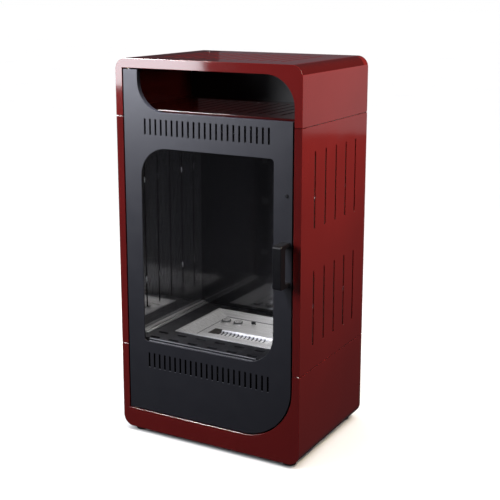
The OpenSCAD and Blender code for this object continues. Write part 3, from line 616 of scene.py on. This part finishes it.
def new_piece(name, mesh, finish):
    """Object with a mesh and one finish, smooth up to the sharp edges."""
    if isinstance(mesh, bmesh.types.BMesh):
        bmesh.ops.recalc_face_normals(mesh, faces=mesh.faces)
        data = bpy.data.meshes.new(name)
        mesh.to_mesh(data)
        mesh.free()
    else:
        data = mesh
    data.polygons.foreach_set("use_smooth", [True] * len(data.polygons))
    data.set_sharp_from_angle(angle=SHARP_ANGLE)
    data.materials.clear()
    data.materials.append(FINISHES[finish])
    piece = bpy.data.objects.new(name, data)
    bpy.context.scene.collection.objects.link(piece)
    return piece


def lofted(rings):
    """Closed mesh through rings of corners with the same count."""
    mesh = bmesh.new()
    loops = [[mesh.verts.new(corner) for corner in ring] for ring in rings]
    for below, above in zip(loops, loops[1:]):
        for k, corner in enumerate(below):
            mesh.faces.new((below[k - 1], corner, above[k], above[k - 1]))
    mesh.faces.new(reversed(loops[0]))
    mesh.faces.new(loops[-1])
    return mesh


def circle(radius, height):
    """Ring of corners round the Z axis."""
    turns = [2 * math.pi * k / ROUND_STEPS for k in range(ROUND_STEPS)]
    return [(radius * math.cos(t), radius * math.sin(t), height) for t in turns]


def plus_sign(length, width, height):
    """Corners of a plus sign round the Z axis."""
    quarter = ((width, width), (width, length), (-width, length))
    corners = []
    for k in range(4):
        cos = math.cos(math.pi / 2 * k)
        sin = math.sin(math.pi / 2 * k)
        corners += [(x * cos - y * sin, x * sin + y * cos, height) for x, y in quarter]
    return corners


def screw_mesh(head_r, head_h, shank_r, shank_l):
    """Screw along Z with its head's foot at the origin and a tapered cross in its top."""
    rings = [circle(shank_r, -shank_l), circle(shank_r, 0.0)]
    rings += [circle(head_r * r, head_h * h) for r, h in HEAD_PROFILE]
    blank = new_piece("screw_blank", lofted(rings), "zinc_steel")
    arm = RECESS_LENGTH * head_r
    half = RECESS_WIDTH * head_r
    depth = RECESS_DEPTH * head_h
    cross = [
        plus_sign(arm * RECESS_TAPER, half * RECESS_TAPER, head_h - depth),
        plus_sign(arm, half, head_h),
        plus_sign(arm, half, head_h + depth),
    ]
    tool = new_piece("screw_recess", lofted(cross), "zinc_steel")
    cut = blank.modifiers.new("recess", "BOOLEAN")
    cut.operation = "DIFFERENCE"
    cut.solver = "EXACT"
    cut.object = tool
    graph = bpy.context.evaluated_depsgraph_get()
    mesh = bpy.data.meshes.new_from_object(blank.evaluated_get(graph))
    bpy.data.objects.remove(blank)
    bpy.data.objects.remove(tool)
    return mesh


def screws(node, body, finish):
    """Detailed screws for every plain screw of a node, all with their heads towards +Y."""
    axis = Vector((0, 1, 0))
    turn = random.Random(node)
    group = bmesh.new()
    for corners in loose_solids(node):
        foot, head_r, head_h, shank_r, shank_l = screw_sizes(corners, axis)
        mesh = screw_mesh(head_r, head_h, shank_r, shank_l)
        place = Matrix.Translation(foot) @ axis.to_track_quat("Z", "X").to_matrix().to_4x4()
        mesh.transform(place @ Matrix.Rotation(turn.uniform(0, math.pi / 2), 4, "Z"))
        group.from_mesh(mesh)
        bpy.data.meshes.remove(mesh)
    piece = new_piece(node + "_detail", group, finish)
    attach(piece, body)
    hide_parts(node)


screws("rear_screws", "cabinet", "zinc_steel")
screws("clip_screws", "door", "zinc_steel")
screws("handle_screws", "door", "zinc_steel")


# Ceramic wool in the tank

PAD_EDGE = 6 * MM
PAD_LUMPS = ((26, 1.4 * MM), (95, 0.8 * MM), (330, 0.35 * MM))
PAD_CUTS = 44


def wool():
    """Fibre pad with soft edges and a lumpy surface, inside the space of its plain solid."""
    low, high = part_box("wool_pad")
    inner_low = low + Vector((PAD_EDGE,) * 3)
    inner_high = high - Vector((PAD_EDGE,) * 3)
    mesh = bmesh.new()
    bmesh.ops.create_cube(mesh, size=1.0)
    bmesh.ops.subdivide_edges(mesh, edges=mesh.edges, cuts=PAD_CUTS, use_grid_fill=True)
    for corner in mesh.verts:
        share = corner.co + Vector((0.5, 0.5, 0.5))
        spot = Vector(a + (b - a) * s for a, b, s in zip(low, high, share))
        core = Vector(min(max(v, a), b) for v, a, b in zip(spot, inner_low, inner_high))
        outward = (spot - core).normalized()
        lumps = sum(depth * (0.5 + 0.5 * noise.noise(spot * scale)) for scale, depth in PAD_LUMPS)
        corner.co = core + outward * (PAD_EDGE - lumps)
    piece = new_piece("wool_pad_fibre", mesh, "ceramic_wool")
    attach(piece, "burner")
    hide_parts("wool_pad")


wool()


# Studio

def look_at(piece, target):
    """Turns a lamp or camera towards a point."""
    piece.rotation_euler = (target - piece.location).to_track_quat("-Z", "Y").to_euler()


def light_only(lamp, pieces):
    """Lets a lamp fall on these pieces alone."""
    lit = bpy.data.collections.new(lamp.name + "_lit")
    for piece in pieces:
        lit.objects.link(piece)
    lamp.light_linking.receiver_collection = lit


def panel_lamp(name, place, target, size, power, colour, spread=180, only=(), glossy=True,
               diffuse=True):
    """Rectangular soft lamp; with names in only, it falls on those pieces alone."""
    lamp = bpy.data.lights.new(name, "AREA")
    lamp.shape = "RECTANGLE"
    lamp.size, lamp.size_y = size
    lamp.energy = power
    lamp.color = colour
    lamp.spread = math.radians(spread)
    made = bpy.data.objects.new(name, lamp)
    bpy.context.scene.collection.objects.link(made)
    made.location = place
    made.visible_camera = False
    made.visible_glossy = glossy
    made.visible_diffuse = diffuse
    look_at(made, Vector(target))
    if only:
        light_only(made, [nodes.get(piece) or bpy.data.objects[piece] for piece in only])


def studio_world(backdrop, surround):
    """White backdrop for the eye, with a dim surround that the surfaces mirror."""
    world = bpy.data.worlds.new("studio")
    world.use_nodes = True
    tree = world.node_tree
    sky = tree.nodes["Background"]
    mix = tree.nodes.new("ShaderNodeMix")
    mix.data_type = "RGBA"
    seen = tree.nodes.new("ShaderNodeLightPath")
    colours = [s for s in mix.inputs if s.type == "RGBA"]
    colours[0].default_value = (*surround, 1)
    colours[1].default_value = (*backdrop, 1)
    tree.links.new(seen.outputs["Is Camera Ray"], mix.inputs[0])
    tree.links.new([s for s in mix.outputs if s.type == "RGBA"][0], sky.inputs["Color"])
    bpy.context.scene.world = world


def studio_floor(half):
    """Plain pale floor."""
    mesh = bpy.data.meshes.new("floor")
    corners = [(-half, -half, 0), (half, -half, 0), (half, half, 0), (-half, half, 0)]
    mesh.from_pydata(corners, [], [(0, 1, 2, 3)])
    floor = bpy.data.objects.new("floor", mesh)
    bpy.context.scene.collection.objects.link(floor)
    f = Finish("pale_floor", {"Roughness": 0.9, "Specular IOR Level": 0.0})
    f.set("Base Color", f.tint(f.noise(even(2)), grey(0.84), grey(0.87)))
    mesh.materials.append(f.material)
    floor.visible_glossy = False
    floor.visible_transmission = False
    floor.visible_diffuse = False
    return floor


def floor_lamp(floor, strength, spread):
    """Wide even light from above that falls on the floor alone, with the object's soft shadow."""
    lamp = bpy.data.lights.new("floor_lamp", "SUN")
    lamp.energy = strength
    lamp.angle = math.radians(spread)
    made = bpy.data.objects.new("floor_lamp", lamp)
    bpy.context.scene.collection.objects.link(made)
    light_only(made, [floor])


def studio_camera(place, turn, tilt, focal_px, frame_px, centre_px):
    """Camera with its heading and tilt in degrees, its focal length and its optical centre in pixels."""
    sensor = 36.0
    data = bpy.data.cameras.new("camera")
    data.sensor_width = sensor
    data.lens = focal_px / frame_px * sensor
    data.shift_x = (frame_px / 2 - centre_px[0]) / frame_px
    data.shift_y = (centre_px[1] - frame_px / 2) / frame_px
    camera = bpy.data.objects.new("camera", data)
    bpy.context.scene.collection.objects.link(camera)
    camera.location = place
    camera.rotation_euler = (math.radians(90 - tilt), 0, math.radians(turn))
    bpy.context.scene.camera = camera


# Soft main lamps, and smaller ones that light or are mirrored by a few pieces alone
# Each has its place, its target, its width and height, its power in watts and its colour

RED_SHEET = ("base_shell", "side_panel_left", "side_panel_right", "hood_shell", "niche_floor")
BURNER_STEEL = ("burner_tray", "flame_trough", "filler_cap", "vent_cap")
HEARTH_STEEL = ("hearth_rail_left", "hearth_plate")
BACK = ("rear_panel", "rear_screws_detail")
WARM_WHITE = (1.0, 0.98, 0.96)

studio_world(backdrop=grey(1), surround=(0.035, 0.035, 0.04))
floor_lamp(studio_floor(half=40), strength=3.6, spread=75)
panel_lamp("key", (1.25, 0.0, 1.6), (0.1, 0.0, 0.8), (0.8, 0.8), 9.5, (1.0, 0.84, 0.68), spread=75)
panel_lamp("front_left", (-1.15, -1.2, 1.14), (-0.05, -0.1, 0.75), (0.9, 1.02), 33, (0.93, 0.95, 1.0))
panel_lamp("burner_lamp", (0.16, 0.0, 0.56), (0.16, 0.0, 0.2), (0.2, 0.15), 6.6, WARM_WHITE,
           only=BURNER_STEEL, glossy=False)
panel_lamp("hearth_lamp", (-0.19, -0.1, 0.42), (-0.19, -0.1, 0.2), (0.04, 0.1), 0.85, WARM_WHITE,
           only=HEARTH_STEEL, glossy=False)
panel_lamp("door_lamp", (-0.3, -0.3, 1.15), (-0.2, -0.16, 0.7), (0.5, 0.1), 40, (0.95, 0.96, 1.0),
           only=("door_panel",), glossy=False)
panel_lamp("edge_lamp", (-0.9, -0.85, 1.5), (0.0, -0.16, 0.3), (0.5, 0.5), 120, (1.0, 0.97, 0.97),
           only=RED_SHEET, diffuse=False)
panel_lamp("hood_lamp", (-0.1, -1.2, 1.1), (0.05, -0.16, 0.83), (0.6, 0.3), 4.6, (1.0, 0.93, 0.96),
           only=("hood_shell",), glossy=False)
panel_lamp("top_lamp", (-1.15, 3.9, 1.2), (0.0, 0.0, 0.85), (2.2, 0.7), 0.32, (0.97, 0.87, 1.0),
           only=("hood_shell",))
panel_lamp("niche_lamp", (0.0, 0.15, 0.77), (0.0, -0.1, 0.77), (0.4, 0.05), 0.001, (1.0, 0.62, 0.66),
           only=("niche_floor",), diffuse=False)
panel_lamp("rear_lamp", (-0.9, 2.2, 1.5), (0.0, 0.16, 0.45), (1.2, 1.0), 70, WARM_WHITE, only=BACK)
panel_lamp("back_right", (1.8, 4.0, 0.7), (0.2, 0.1, 0.8), (2.0, 1.2), 2.2, (1.0, 0.92, 0.95))
studio_camera(place=(1.117, -1.9454, 0.998), turn=29.52, tilt=12.1, focal_px=1031, frame_px=500,
              centre_px=(245.4, 208))

view = bpy.context.scene.view_settings
view.view_transform = "Standard"
view.look = "None"
